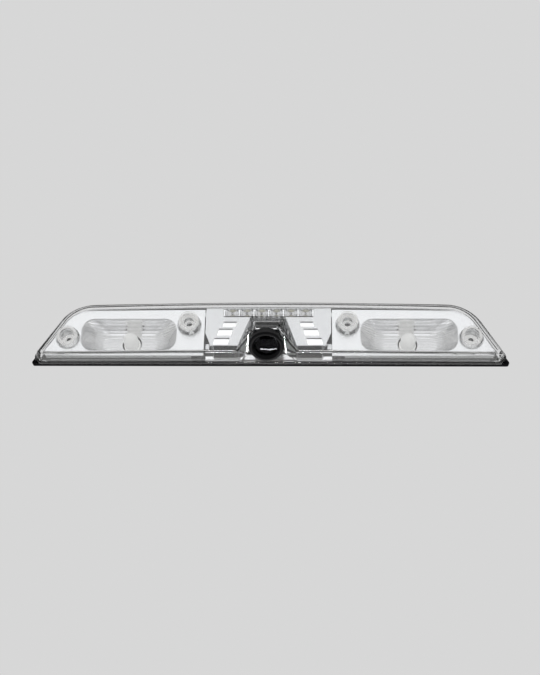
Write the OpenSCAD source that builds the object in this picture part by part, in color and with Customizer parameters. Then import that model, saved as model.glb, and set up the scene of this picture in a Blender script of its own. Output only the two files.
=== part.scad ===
// High-mounted brake light for the back of a pickup cab, with two cargo lights and a rear camera.
// +X is to the right as seen from the lens side, +Z is up and the lens faces -Y.
// The back of the gasket lies on the plane y = 0, and the origin is midway between the inner screws.
// Depths are given as "h", the distance forward of that plane, so y = -h.

/* [Outline] */
// Height of the rim's top edge at the middle, above the inner screws
rim_top = 28.3; // [26:0.1:30]
// Height of the rim's bottom edge
rim_bottom = -34.4; // [-36:0.1:-33]
// How much lower the top edge is where its corners begin
crown_drop = 2.1; // [0.5:0.1:3]
// Distance of the slanted ends from the origin, square to them
side_reach = 174.4; // [172:0.1:178]
// Rise of the slanted ends' outward direction above the horizontal
side_rise = 30.8; // [28:0.1:33]
// Radius of the large top corners
corner_r = 38; // [36:0.5:40]
// Radius of the lens's low corners
low_corner_r = 6; // [5:0.5:7]
// Radius of the gasket's low corners
gasket_corner_r = 2; // [1.5:0.5:3]

/* [Depth] */
// Thickness of the foam gasket
gasket_t = 5; // [4.5:0.1:5.4]
// Depth of the lens rim's front edge
rim_front = 9.2; // [8.8:0.1:9.6]
// Depth of the lens face at the top edge, in the middle
face_h = 25.8; // [25:0.1:26.5]
// How far the lens face leans forward for each millimetre down
face_lean = 0.042; // [0.02:0.001:0.05]
// How far the lens face falls back towards its ends
end_drop = 3.4; // [2.5:0.1:4]
// Depth of the chromed bezels' front face
bezel_h = 17; // [16.8:0.1:17.2]

/* [Screws through the lamp] */
// Distance of the inner screws from the middle
inner_screw_x = 73.7; // [73.5:0.1:74]
// Distance of the outer screws from the middle
outer_screw_x = 187; // [186.5:0.1:187.5]
// Height of the outer screws, relative to the inner ones
outer_screw_z = -13.4; // [-13.6:0.1:-13.2]
// Radius of the four screw holes
screw_r = 2.75; // [2.5:0.05:3]
// Radius of the clear posts that the screws pass through
post_r = 9.7; // [9.5:0.05:9.8]

/* [Camera] */
// Angle of the camera's axis below the horizontal
camera_tilt = 60; // [59:0.5:61]
// Outer radius of the camera's ring
ring_r = 16; // [15.5:0.1:16.5]
// How far the ring stands out of the nacelle's underside
ring_proud = 9.2; // [9:0.1:10]
// Depth of the nacelle's nose
nose_h = 52; // [51.5:0.1:52.5]

/* [Brake light] */
// Distance from one reflector cell to the next
cell_pitch = 13.8; // [13.6:0.1:14]
// Height of the row of cells
cell_z = 13.6; // [13.4:0.1:13.8]

/* [Cargo lights] */
// Distance of the cargo lights from the middle
cargo_x = 130.2; // [130:0.1:130.4]
// Height of the cargo lights
cargo_z = -10.2; // [-10.4:0.1:-10]
// Radius of the socket bodies
socket_r = 12.25; // [12.2:0.05:12.3]

/* [Hidden] */

$fn = 64;
eps = 0.01;
crown_steps = 10;
corner_steps = 12;
low_steps = 7;
shoulder_steps = 11;

lens_wall = 2.4;
land_h = 7.5;                  // back of the lens's bonding land
plate_t = 2.4;                 // housing plate
plate_inset = 2.6;
plate_front = gasket_t + plate_t;
gasket_w = 6;
pad_t = 1.2;                   // floor of each screw cup
cup_clear = 0.1;
cup_wall = 1.5;
cup_r = post_r + cup_clear + cup_wall;

tub_wall = 2;
centre_tub = [57.8, -22.4, 20, 18];   // half width, bottom, top and depth behind the mounting plane
side_tub = [89.4, 171.2, -25.7, 12];  // inner end, outer end, bottom and top
side_tub_back = 12;
tub_corner_r = 5;

bezel_t = 1.4;
bezel_top = 19.4;
bezel_gap = 0.8;               // between the centre bezel and the side bezels

board_h = 4.4;
board_t = 1.6;
board_front = board_h + board_t;
board_holes = [[50, 13.5], [51, -16.2]];
pilot_r = 1.2;

// The nacelle: half width, height and depth of its corners.
pod_base_top = [16, 4.3, 27];
pod_nose_top = [11.8, -14.2, nose_h];
pod_nose_low = [11.4, -20.6, nose_h];
pod_base_low = [30, rim_bottom + 0.4, 28];
pod_wall = 2.2;
pod_root_h = 20;               // the nacelle's walls start this deep, inside the lens

// Middle of the ring on the nacelle's underside.
ring_run = 14.5;               // along the underside, from the nose edge
ring_centre_h = nose_h - ring_run * sin(camera_tilt);
ring_centre_z = pod_nose_low[1] - ring_run * cos(camera_tilt);

lamp_inlet_x = -34;
lamp_inlet_z = -3;
camera_inlet_z = -2;

// ---------------------------------------------------------------- helpers

// Extrudes a flat shape drawn in X and Z from depth h0 to depth h1.
module fwd(h0, h1) {
    translate([0, -h0, 0]) rotate([90, 0, 0]) linear_extrude(height = h1 - h0) children();
}

// A cylinder along the depth.
module fwd_cyl(x, z, r, h0, h1) {
    translate([x, -h0, z]) rotate([90, 0, 0]) cylinder(r = r, h = h1 - h0);
}

// A cone along the depth, with radius r0 at depth h0 and r1 at depth h1.
module fwd_cone(x, z, r0, r1, h0, h1) {
    translate([x, -h0, z]) rotate([90, 0, 0]) cylinder(r1 = r0, r2 = r1, h = h1 - h0);
}

// A box given by its sides in x, depth and z.
module slab(x0, x1, h0, h1, z0, z1) {
    translate([x0, -h1, z0]) cube([x1 - x0, h1 - h0, z1 - z0]);
}

module both_sides() {
    children();
    mirror([1, 0, 0]) children();
}

// The left pieces are the right ones mirrored.
module on_side(side) {
    if (side == "left") mirror([1, 0, 0]) children();
    else children();
}

// Places a cargo light's own pieces. Both sockets unlock the same way, so they aren't mirrored.
module at_cargo(side) {
    translate([side == "left" ? -cargo_x : cargo_x, 0, cargo_z]) children();
}

module round_box(x0, x1, z0, z1, r) {
    translate([x0 + r, z0]) square([x1 - x0 - 2 * r, z1 - z0]);
    translate([x0, z0 + r]) square([x1 - x0, z1 - z0 - 2 * r]);
    for (x = [x0 + r, x1 - r])
        for (z = [z0 + r, z1 - r])
            translate([x, z]) circle(r = r);
}

function arc(c, r, a0, a1, steps) =
    [for (i = [0:steps]) let (a = a0 + (a1 - a0) * i / steps) [c[0] + r * cos(a), c[1] + r * sin(a)]];

// ---------------------------------------------------------------- outline of the lamp

// x of a corner's centre, from its height and its distance inside the slanted end.
function end_x(inside, z) = (side_reach - inside - sin(side_rise) * z) / cos(side_rise);

// Right half of the outline, clockwise from the top middle to the bottom middle. It is moved in by
// dt at the top, ds at the slanted end and db at the bottom. Each top point has a bottom point under it.
function rim_half(dt, ds, db, r1, r2) =
    let (
        c1z = rim_top - crown_drop - dt - r1,
        c1 = [end_x(ds + r1, c1z), c1z],
        c2z = rim_bottom + db + r2,
        c2 = [end_x(ds + r2, c2z), c2z],
        slope = atan(2 * crown_drop / c1[0]),
        start = [c1[0] + r1 * sin(slope), c1[1] + r1 * cos(slope)],
        fall = rim_top - dt - start[1],
        crown = [for (i = [0:crown_steps - 1])
            let (k = i / crown_steps) [start[0] * k, rim_top - dt - fall * k * k]],
        top = concat(crown, arc(c1, r1, 90 - slope, side_rise, corner_steps)),
        low = arc(c2, r2, side_rise, -90, low_steps),
        under = [for (i = [len(top) - 1:-1:0]) [top[i][0], rim_bottom + db]]
    ) concat(top, low, under);

function rim_ring(dt, ds, db, r1, r2) =
    let (half = rim_half(dt, ds, db, r1, r2))
    concat(half, [for (i = [len(half) - 2:-1:1]) [-half[i][0], half[i][1]]]);

// The outline moved in by the same distance all round.
module rim_shape(inset, low_r = low_corner_r) {
    polygon(rim_ring(inset, inset, inset, corner_r - inset, max(low_r - inset, 0.8)));
}

module rim_band(outer, inner, low_r = low_corner_r) {
    difference() {
        rim_shape(outer, low_r);
        rim_shape(inner, low_r);
    }
}

// How far the lens face is set back at a point.
function face_set(x, z) =
    end_drop * pow(min(abs(x), 188) / 188, 2) + face_lean * (z - (rim_top - 14.4));

// A closed skin through outlines. Each row is [dt, ds, db, h, share of the face's set-back].
module lofted(rows) {
    half_n = len(rim_half(0, 0, 0, corner_r, low_corner_r));
    n = 2 * half_n - 2;
    last_top = crown_steps + corner_steps;
    base = (len(rows) - 1) * n;
    points = [for (row = rows)
        for (p = rim_ring(row[0], row[1], row[2], corner_r - 0.85 * row[0], max(low_corner_r - row[1] / 2, 2)))
            [p[0], -(row[3] - row[4] * face_set(p[0], p[1])), p[1]]];
    walls = [for (k = [0:len(rows) - 2])
        for (j = [0:n - 1])
            for (tri = [[k * n + j, k * n + (j + 1) % n, (k + 1) * n + (j + 1) % n],
                        [k * n + j, (k + 1) * n + (j + 1) % n, (k + 1) * n + j]])
                tri];
    strips = [for (i = [0:last_top - 1])
        [base + i, base + i + 1, base + half_n - 2 - i, base + half_n - 1 - i]];
    left_strips = [for (i = [0:last_top - 1])
        [base + (n - i) % n, base + half_n - 1 + i, base + half_n + i, base + n - i - 1]];
    right_end = [for (j = [last_top:half_n - 1 - last_top]) base + j];
    left_end = [for (j = [half_n - 1 + last_top:n - last_top]) base + j];
    back = [for (j = [n - 1:-1:0]) j];
    polyhedron(points, concat(walls, strips, left_strips, [right_end, left_end, back]), convexity = 6);
}

// Rows of a rounded shoulder, from the rim's front to the lens face. Each of the first three values
// gives the inset at the rim and how far the shoulder runs in at the top, the ends and the bottom.
function shoulder(top, end, low, to_h) =
    [for (k = [0:shoulder_steps]) let (a = 90 * k / shoulder_steps, run = 1 - cos(a)) [
        top[0] + top[1] * run,
        end[0] + end[1] * run,
        low[0] + 0.4 * sin(a) + low[1] * pow(run, 4),
        rim_front + (to_h - rim_front) * sin(a),
        sin(a)]];

lens_outside = concat([
    [0, 0, 0, gasket_t, 0],
    [0, 0, 0, rim_front - 0.8, 0],
    [0.6, 0.6, 0.4, rim_front - 0.1, 0]],
    shoulder([3, 11.4], [2.6, 8], [0.8, 2], face_h));

lens_inside = concat([
    [5.7, 5.3, 4.8, gasket_t - 1, 0],
    [5.7, 5.3, 4.8, rim_front - 0.7, 0]],
    shoulder([5.8, 10], [5.4, 7], [3.5, 1.6], face_h - lens_wall));

// ---------------------------------------------------------------- lens

// The nacelle as a solid, moved in by "in" on every side and run back to depth root.
module pod_solid(in, root) {
    function corner(p, side, dx, dz, dh) = [side * (p[0] - dx), -(p[2] - dh), p[1] + dz];
    points = [for (side = [-1, 1])
        for (p = [
            corner([pod_base_top[0], pod_base_top[1], root], side, in, -in, 0),
            corner(pod_base_top, side, in, -in, in * 0.5),
            corner(pod_nose_top, side, in, -in, in),
            corner(pod_nose_low, side, in, in * 0.3, in),
            corner(pod_base_low, side, in * 1.4, in, in * 0.2),
            corner([pod_base_low[0], pod_base_low[1], root], side, in * 1.4, in, 0)])
        p];
    hull() polyhedron(points, [[0, 6, 7, 1], [1, 7, 8, 2], [2, 8, 9, 3], [3, 9, 10, 4], [4, 10, 11, 5],
        [5, 11, 6, 0], [0, 1, 2, 3, 4, 5], [11, 10, 9, 8, 7, 6]]);
}

inner_post_top = face_h + 1.2;
outer_post_top = face_h - 1.5;
inner_well_floor = inner_post_top - 8.5;
outer_well_floor = 12;

// The local frame of the camera: z along its axis, out of the nacelle, and y towards the nose.
module on_camera() {
    translate([0, -ring_centre_h, ring_centre_z]) rotate([90 + camera_tilt, 0, 0]) children();
}

plate_top_y = 13.2;
plate_low_y = -12.2;

// Face of the camera body that closes the nacelle's underside.
module camera_face_shape(grow) {
    polygon([[-9.8 - grow, plate_top_y + grow], [9.8 + grow, plate_top_y + grow], [12.6 + grow, 9.6],
        [15.4 + grow, plate_low_y - grow], [-15.4 - grow, plate_low_y - grow], [-12.6 - grow, 9.6]]);
}

module outer_lens() {
    color([0.92, 0.95, 0.97, 0.35])
    difference() {
        union() {
            difference() {
                union() {
                    lofted(lens_outside);
                    pod_solid(0, pod_root_h);
                }
                lofted(lens_inside);
                pod_solid(pod_wall, gasket_t - 1);
                fwd(gasket_t - 1, land_h) rim_shape(plate_inset - 0.1);
            }
            both_sides() {
                fwd_cyl(inner_screw_x, 0, post_r, pad_t, inner_post_top);
                fwd_cyl(outer_screw_x, outer_screw_z, post_r, pad_t, outer_post_top);
            }
        }
        both_sides() {
            fwd_cyl(inner_screw_x, 0, 4.6, inner_well_floor, inner_post_top + 1);
            fwd_cone(inner_screw_x, 0, 4.6, 7.6, inner_post_top - 2.9, inner_post_top + 0.1);
            fwd_cyl(inner_screw_x, 0, screw_r, 0, inner_post_top);
            fwd_cyl(outer_screw_x, outer_screw_z, 6.6, outer_well_floor, outer_post_top + 1);
            fwd_cyl(outer_screw_x, outer_screw_z, screw_r, 0, outer_post_top);
        }
        on_camera() translate([0, 0, -5]) linear_extrude(height = 8) camera_face_shape(0.15);
    }
}

bead_in = 3.3;
bead_w = 1.1;
bead_depth = 0.9;

module lens_seal_bead() {
    color([0.05, 0.05, 0.05]) fwd(plate_front - bead_depth + 0.1, land_h) rim_band(bead_in, bead_in + bead_w);
}

// ---------------------------------------------------------------- housing and seals

bezel_screw_spots = [[66, 15.5], [66, -19]];        // centre bezel, screwed from the front
side_screw_spots = [[84, 13], [178, 6]];          // side bezels, screwed from behind
screw_boss_r = 2.8;

module tub(x0, x1, z0, z1, back) {
    fwd(-back - tub_wall, gasket_t + eps)
        round_box(x0 - tub_wall, x1 + tub_wall, z0 - tub_wall, z1 + tub_wall, tub_corner_r + tub_wall);
}

module tub_space(x0, x1, z0, z1, back) {
    fwd(-back, plate_front + 1) round_box(x0, x1, z0, z1, tub_corner_r);
}

lug_a = 26;
notch_a = 29;
twist = 45;
bore_r = socket_r + 0.05;

// A sector of a disc, as a flat shape.
module sector(r, a0, a1) {
    polygon(concat([[0, 0]], arc([0, 0], r, a0, a1, 6)));
}

module rear_housing() {
    color([0.82, 0.83, 0.84])
    difference() {
        union() {
            fwd(gasket_t, plate_front) rim_shape(plate_inset);
            tub(-centre_tub[0], centre_tub[0], centre_tub[1], centre_tub[2], centre_tub[3]);
            both_sides() {
                tub(side_tub[0], side_tub[1], side_tub[2], side_tub[3], side_tub_back);
                fwd_cyl(inner_screw_x, 0, cup_r, 0, gasket_t + eps);
                fwd_cyl(outer_screw_x, outer_screw_z, cup_r, 0, gasket_t + eps);
                for (p = bezel_screw_spots) fwd_cyl(p[0], p[1], screw_boss_r, 0.4, gasket_t + eps);
            }
        }
        difference() {
            tub_space(-centre_tub[0], centre_tub[0], centre_tub[1], centre_tub[2], centre_tub[3]);
            both_sides() for (p = board_holes) fwd_cyl(p[0], p[1], 3, -centre_tub[3] - 1, board_h);
        }
        both_sides() {
            tub_space(side_tub[0], side_tub[1], side_tub[2], side_tub[3], side_tub_back);
            for (p = board_holes) fwd_cyl(p[0], p[1], pilot_r, board_h - 9, board_h + 1);
            for (p = bezel_screw_spots) fwd_cyl(p[0], p[1], pilot_r, -1, plate_front + 1);
            for (p = side_screw_spots) fwd_cyl(p[0], p[1], pilot_r + 0.2, 0, plate_front + 1);
            fwd_cyl(inner_screw_x, 0, post_r + cup_clear, pad_t, plate_front + 1);
            fwd_cyl(outer_screw_x, outer_screw_z, post_r + cup_clear, pad_t, plate_front + 1);
            fwd_cyl(inner_screw_x, 0, screw_r, -1, pad_t + 1);
            fwd_cyl(outer_screw_x, outer_screw_z, screw_r, -1, pad_t + 1);
            fwd_cyl(155, 2, vent_r, -side_tub_back - tub_wall - 1, -side_tub_back + 1);
        }
        for (side = ["left", "right"]) at_cargo(side) {
            fwd_cyl(0, 0, bore_r, -side_tub_back - tub_wall - 1, -side_tub_back + 1);
            for (a = [0, 120, 240])
                fwd(-side_tub_back - tub_wall - 1, -side_tub_back + 1)
                    sector(14.5, a - twist - notch_a / 2, a - twist + notch_a / 2);
        }
        fwd(plate_front - bead_depth + 0.1, plate_front + 1) rim_band(bead_in, bead_in + bead_w);
        translate([lamp_inlet_x, 0, lamp_inlet_z]) fwd(-centre_tub[3] - tub_wall - 1, -centre_tub[3] + 1)
            square([inlet_w - 4, inlet_d - 4], center = true);
        fwd_cyl(0, camera_inlet_z, camera_inlet_r - 1.6, -centre_tub[3] - tub_wall - 1, -centre_tub[3] + 1);
        for (x = [-bracket_screw_x, bracket_screw_x]) fwd_cyl(x, bracket_screw_z, pilot_r, -centre_tub[3] - tub_wall - 1, -centre_tub[3] + 1);
    }
}

module perimeter_gasket() {
    color([0.06, 0.06, 0.06]) fwd(0, gasket_t) rim_band(0, gasket_w, gasket_corner_r);
}

module screw_hole_seals() {
    color([0.08, 0.08, 0.08]) both_sides()
        for (p = [[inner_screw_x, 0], [outer_screw_x, outer_screw_z]])
            difference() {
                fwd_cyl(p[0], p[1], cup_r + 2.4, 0, gasket_t);
                fwd_cyl(p[0], p[1], cup_r, -1, gasket_t + 1);
            }
}

// ---------------------------------------------------------------- bezels

module bezel_block(in, back) {
    intersection() {
        fwd(back, bezel_h + 1) polygon([
            [-58.5 + in, bezel_top - in], [58.5 - in, bezel_top - in], [58.5 - in, -8.4], [50.2 - in, -28.4 + in],
            [-50.2 + in, -28.4 + in], [-58.5 + in, -8.4]]);
        translate([-60, 0, 0]) rotate([90, 0, 90]) linear_extrude(height = 120) polygon([
            [-back, bezel_top - in], [-bezel_h + in, bezel_top - in], [-bezel_h + in, -21.3 + in * 0.4],
            [-9.6 + in * 0.3, -28.4 + in], [-back, -28.4 + in]]);
    }
}

// The light slots of one side: inner end, outer end, bottom and top.
slots = [[29.6, 42.6, -1.7, 1.7], [33, 47.5, -10.9, -5.6], [35.8, 51, -20.2, -15.1]];
slot_slant = 0.28;

module slot_shape(s, in) {
    run = (s[3] - s[2]) * slot_slant;
    polygon([[s[0] + in, s[3] - in], [s[1] - run - in, s[3] - in], [s[1] - in, s[2] + in], [s[0] + run + in, s[2] + in]]);
}

// The nacelle's opening in the centre bezel.
module pod_window() {
    polygon([[-15, 5.5], [15, 5.5], [27.5, -30], [-27.5, -30]]);
}

module centre_bezel() {
    color([0.9, 0.91, 0.92])
    difference() {
        union() {
            difference() {
                bezel_block(0, 8);
                bezel_block(bezel_t, 7);
            }
            both_sides() for (p = bezel_screw_spots) {
                fwd_cyl(p[0], p[1], 4, plate_front, plate_front + bezel_t);
                slab(p[0] - 11, p[0], plate_front, plate_front + bezel_t, p[1] - 3, p[1] + 3);
                slab(p[0] - 11, p[0] - 8.8, plate_front, 9, p[1] - 3, p[1] + 3);
            }
        }
        fwd(bezel_h - 3, bezel_h + 1)
            round_box(-tray_half - 0.2, tray_half + 0.2, cell_z - cell_half - 0.2, cell_z + cell_half + 0.2, 0.6);
        fwd(7, bezel_h + 1) pod_window();
        both_sides() {
            for (s = slots) fwd(bezel_h - 3, bezel_h + 1) slot_shape(s, 0);
            for (p = bezel_screw_spots) fwd_cyl(p[0], p[1], pilot_r + 0.2, 0, bezel_h);
            for (p = board_holes) fwd_cyl(p[0], p[1], 3.2, 7, 10);
        }
    }
}

side_bezel_in = 9.2;
side_bezel_top = 16.2;
side_bezel_low = -29.4;

// Outline of a side bezel: the space between the centre bezel and the slanted end.
module side_bezel_shape(in) {
    intersection() {
        polygon(rim_ring(side_bezel_in + in, side_bezel_in + in, side_bezel_low - rim_bottom + in, corner_r - side_bezel_in - in, 2));
        translate([58.5 + bezel_gap, side_bezel_low + in])
            square([160, side_bezel_top - side_bezel_low - 2 * in]);
        polygon([[58.5 + bezel_gap, 30], [220, 30], [220, -40], [50.2 + bezel_gap, -40],
            [50.2 + bezel_gap, -28.4], [58.5 + bezel_gap, -8.4]]);
    }
}

pocket = [85.4, 175, -26.6, 6.4];   // inner end, outer end, bottom and top of a cargo pocket
pocket_r = 12;

module side_bezel(side) {
    on_side(side) color([0.88, 0.89, 0.9])
    difference() {
        union() {
            fwd(bezel_h - bezel_t, bezel_h) side_bezel_shape(0);
            fwd(8, bezel_h - bezel_t + eps) difference() {
                side_bezel_shape(0);
                side_bezel_shape(bezel_t);
                translate([40, -40]) square([31, 70]);
            }
            for (p = side_screw_spots) fwd_cyl(p[0], p[1], screw_boss_r, plate_front, bezel_h - eps);
        }
        fwd(bezel_h - 3, bezel_h + 1) round_box(pocket[0], pocket[1], pocket[2], pocket[3], pocket_r);
        fwd_cyl(inner_screw_x, 0, post_r + 0.7, 7, bezel_h + 1);
        fwd_cyl(outer_screw_x, outer_screw_z, post_r + 0.7, 7, bezel_h + 1);
        for (p = side_screw_spots) fwd_cyl(p[0], p[1], pilot_r, 0, 13);
    }
}

module side_bezel_left() { side_bezel("left"); }
module side_bezel_right() { side_bezel("right"); }

// A pan-head screw along the depth. Its head is on the front when front is true.
module small_screw(x, z, seat, tip, front) {
    sgn = front ? 1 : -1;
    fwd_cyl(x, z, pilot_r, min(seat, tip), max(seat, tip));
    difference() {
        fwd_cyl(x, z, 2.4, min(seat, seat + sgn * 1.4), max(seat, seat + sgn * 1.4));
        for (a = [0, 90])
            translate([x, 0, z]) rotate([0, a, 0])
                slab(-1.5, 1.5, min(seat + sgn * 0.6, seat + sgn * 2), max(seat + sgn * 0.6, seat + sgn * 2), -0.3, 0.3);
    }
}

module bezel_screws() {
    color([0.6, 0.6, 0.62]) both_sides() {
        for (p = bezel_screw_spots) small_screw(p[0], p[1], plate_front + bezel_t, 1, true);
        for (p = side_screw_spots) small_screw(p[0], p[1], gasket_t, 12, false);
    }
}

// ---------------------------------------------------------------- brake light

tray_half = 3 * cell_pitch + 0.7;
cell_half = 4.3;
tray_back = board_front + 1;
tray_front = bezel_h - bezel_t - 0.4;

// Paraboloid of one cell, opening forward.
module cell_bowl() {
    focal = 1.9;
    throat = 2.1;
    depth = tray_front - tray_back;
    steps = 7;
    profile = [for (i = [0:steps]) let (t = depth * i / steps) [sqrt(throat * throat + 4 * focal * t * 0.72), t]];
    rotate([90, 0, 0]) rotate_extrude() polygon(concat([[0, -0.5], [throat, -0.5]], profile, [[0, depth]]));
}

module brake_reflector_tray() {
    color([0.95, 0.95, 0.95])
    difference() {
        slab(-tray_half, tray_half, tray_back, tray_front, cell_z - cell_half, cell_z + cell_half);
        for (i = [-2.5:1:2.5]) {
            intersection() {
                translate([i * cell_pitch, -tray_back, cell_z]) cell_bowl();
                slab((i - 0.5) * cell_pitch + 0.5, (i + 0.5) * cell_pitch - 0.5, tray_back - 1, tray_front + 1,
                    cell_z - cell_half + 0.5, cell_z + cell_half - 0.5);
            }
            slab((i - 0.5) * cell_pitch + 0.5, (i + 0.5) * cell_pitch - 0.5, tray_front - 0.6, tray_front + 1,
                cell_z - cell_half + 0.5, cell_z + cell_half - 0.5);
        }
    }
}

slot_led_x = [37, 41, 44.5];

module slot_diffuser(side) {
    on_side(side) color([0.97, 0.97, 0.96])
    union() {
        fwd(bezel_h - bezel_t - 2.2, bezel_h - bezel_t) round_box(31.5, 51.8, -19.6, 3.2, 2);
        for (s = slots)
            intersection() {
                fwd(bezel_h - bezel_t - eps, bezel_h - 0.3) slot_shape(s, 0.15);
                slab(28, 56, 10, bezel_h, -20.4, 3.4);
            }
        for (p = [[34, -4], [49.5, -9.8]]) fwd_cyl(p[0], p[1], 1.2, board_front, bezel_h - bezel_t - 1);
    }
}

module slot_diffuser_left() { slot_diffuser("left"); }
module slot_diffuser_right() { slot_diffuser("right"); }

board_window = [16.5, -22.5, 5];

module brake_led_board() {
    color([0.85, 0.88, 0.85])
    difference() {
        fwd(board_h, board_front) polygon([[-56.5, 17], [56.5, 17], [56.5, -9.6], [52, -21.4], [-52, -21.4], [-56.5, -9.6]]);
        slab(-board_window[0], board_window[0], board_h - 1, board_front + 1, board_window[1], board_window[2]);
        both_sides() for (p = board_holes) fwd_cyl(p[0], p[1], pilot_r + 0.2, board_h - 1, board_front + 1);
    }
}

module led(x, z) {
    slab(x - 1.5, x + 1.5, board_front, board_front + 0.8, z - 1.5, z + 1.5);
    fwd_cyl(x, z, 1.3, board_front + 0.8 - eps, board_front + 1.5);
}

module brake_leds() {
    color([0.95, 0.9, 0.6]) {
        for (i = [-2.5:1:2.5]) led(i * cell_pitch, cell_z);
        both_sides() for (i = [0:2]) led(slot_led_x[i], (slots[i][2] + slots[i][3]) / 2);
    }
}

module board_resistors() {
    color([0.15, 0.15, 0.16])
        for (x = [-48, -44, 22, 26, 30]) slab(x, x + 2.5, board_h - 0.7, board_h, 2, 3.6);
}

module led_driver() {
    color([0.1, 0.1, 0.1]) {
        slab(24, 32, board_h - 1.6, board_h, -14, -6);
        for (z = [-12.5:1.5:-7]) {
            slab(22.8, 24, board_h - 0.5, board_h, z, z + 0.6);
            slab(32, 33.2, board_h - 0.5, board_h, z, z + 0.6);
        }
    }
}

// Header behind the board, in line with the lamp's inlet.
module board_header() {
    color([0.95, 0.93, 0.88])
    difference() {
        slab(lamp_inlet_x - 7, lamp_inlet_x + 7, board_h - 8, board_h, lamp_inlet_z - 4, lamp_inlet_z + 4);
        slab(lamp_inlet_x - 6, lamp_inlet_x + 6, board_h - 9, board_h - 1.5, lamp_inlet_z - 3, lamp_inlet_z + 3);
    }
}

module board_screws() {
    color([0.6, 0.6, 0.62]) both_sides() for (p = board_holes) small_screw(p[0], p[1], board_front, -3, true);
}

// ---------------------------------------------------------------- cargo lights

reflector_wall = 1.2;
bulb_hole_r = 9.2;

// The bathtub shape of a cargo reflector: depth, half length and half height of each slice.
function tub_slices(grow) = [for (s = [[bezel_h - bezel_t, 44.6, 16.3, 12], [10, 40, 14.4, 12], [4, 36.4, 12.8, 11.5],
    [-0.5, 32.5, 11.2, 10], [-3.4, 27, 8.6, 8], [-4.6, 21.5, 5.8, 5.5]])
    [s[0] - (s[0] < 12 ? grow : 0), s[1] + grow, s[2] + grow, s[3] + grow]];

module bathtub(grow, lift) {
    slices = tub_slices(grow);
    hull() for (s = slices)
        translate([cargo_x, 0, cargo_z]) fwd(s[0] - 0.02 + (s[0] > 12 ? lift : 0), s[0] + (s[0] > 12 ? lift : 0))
            round_box(-s[1], s[1], -s[2], s[2], s[3] - eps, $fn = 32);
}

module cargo_reflector(side) {
    on_side(side) color([0.93, 0.93, 0.94])
    difference() {
        union() {
            bathtub(reflector_wall, 0);
            intersection() {
                fwd(bezel_h - bezel_t - 1, bezel_h - bezel_t)
                    round_box(pocket[0] - 1.6, pocket[1] - 0.4, pocket[2] - 1.4, pocket[3] + 2.4, pocket_r + 1.4);
                fwd(0, bezel_h) side_bezel_shape(bezel_t + 0.4);
            }
        }
        bathtub(0, 0.1);
        fwd_cyl(cargo_x, cargo_z, bulb_hole_r, -10, 4);
    }
}

module cargo_reflector_left() { cargo_reflector("left"); }
module cargo_reflector_right() { cargo_reflector("right"); }

socket_front = -7;             // depth of the socket body's front face
socket_flange = side_tub_back + tub_wall + 1.6;

module cargo_socket(side) {
    at_cargo(side) color([0.12, 0.12, 0.13])
    difference() {
        union() {
            fwd_cyl(0, 0, socket_r, -socket_flange - 1, socket_front);
            fwd_cyl(0, 0, 15.3, -socket_flange - 2.2, -socket_flange);
            fwd_cyl(0, 0, 13.6, -socket_flange - 5, -socket_flange - 2);
            for (a = [0, 120, 240])
                difference() {
                    fwd(-side_tub_back + 0.1, -side_tub_back + 2.4) sector(14.1, a - lug_a / 2, a + lug_a / 2);
                    fwd_cyl(0, 0, socket_r - 1, -side_tub_back - 1, -side_tub_back + 4);
                }
            slab(-15.5, 15.5, -socket_flange - 8, -socket_flange - 2, -2, 2);
            slab(-8.5, 8.5, -socket_flange - 13, -socket_flange - 4, -6, 6);
        }
        slab(-8.2, 8.2, -socket_flange + 3, 0, -3.4, 3.4);
        fwd_cyl(0, 0, 8.2, socket_front - 3, 0);
        slab(-7, 7, -socket_flange - 14, -socket_flange - 5, -4.8, 4.8);
        for (x = [-4, 4]) slab(x - 1.5, x + 1.5, -socket_flange - 6, -socket_flange + 4, -0.4, 0.4);
    }
}

module cargo_socket_left() { cargo_socket("left"); }
module cargo_socket_right() { cargo_socket("right"); }

module socket_seal(side) {
    at_cargo(side) color([0.55, 0.12, 0.1])
    difference() {
        fwd_cyl(0, 0, 14.9, -socket_flange, -side_tub_back - tub_wall - 0.1);
        fwd_cyl(0, 0, socket_r, -socket_flange - 1, 0);
    }
}

module socket_seal_left() { socket_seal("left"); }
module socket_seal_right() { socket_seal("right"); }

// Two spring contacts in each socket, and the blades that they become in its connector.
module socket_contacts(side) {
    at_cargo(side) color([0.8, 0.65, 0.35])
    for (x = [-4, 4]) {
        slab(x - 1.5, x + 1.5, -socket_flange + 3, socket_front - 4, -3.4, -2.7);
        slab(x - 1.5, x + 1.5, -socket_flange + 3, -socket_flange + 3.6, -3.4, 0.4);
        slab(x - 1.5, x + 1.5, -socket_flange - 11, -socket_flange + 3.6, -0.4, 0.4);
    }
}

module socket_contacts_left() { socket_contacts("left"); }
module socket_contacts_right() { socket_contacts("right"); }

bulb_tip = 12;

// A wedge-base lamp: flat base, collar, body and domed tip.
module cargo_bulb(side) {
    at_cargo(side) color([0.96, 0.96, 0.9]) {
        slab(-7.4, 7.4, -socket_flange + 4.4, socket_front - 2, -2.2, 2.2);
        fwd_cyl(0, 0, 7.9, socket_front - 3, socket_front + 1.5);
        fwd_cyl(0, 0, 7, socket_front + 1.5 - eps, 5);
        translate([0, -5, 0]) rotate([90, 0, 0]) rotate_extrude() polygon(concat([[0, -eps], [7, -eps]],
            [for (a = [0:10:90]) [7 * cos(a), (bulb_tip - 5) * sin(a)]]));
    }
}

module cargo_bulb_left() { cargo_bulb("left"); }
module cargo_bulb_right() { cargo_bulb("right"); }

vent_r = 4;

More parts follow.
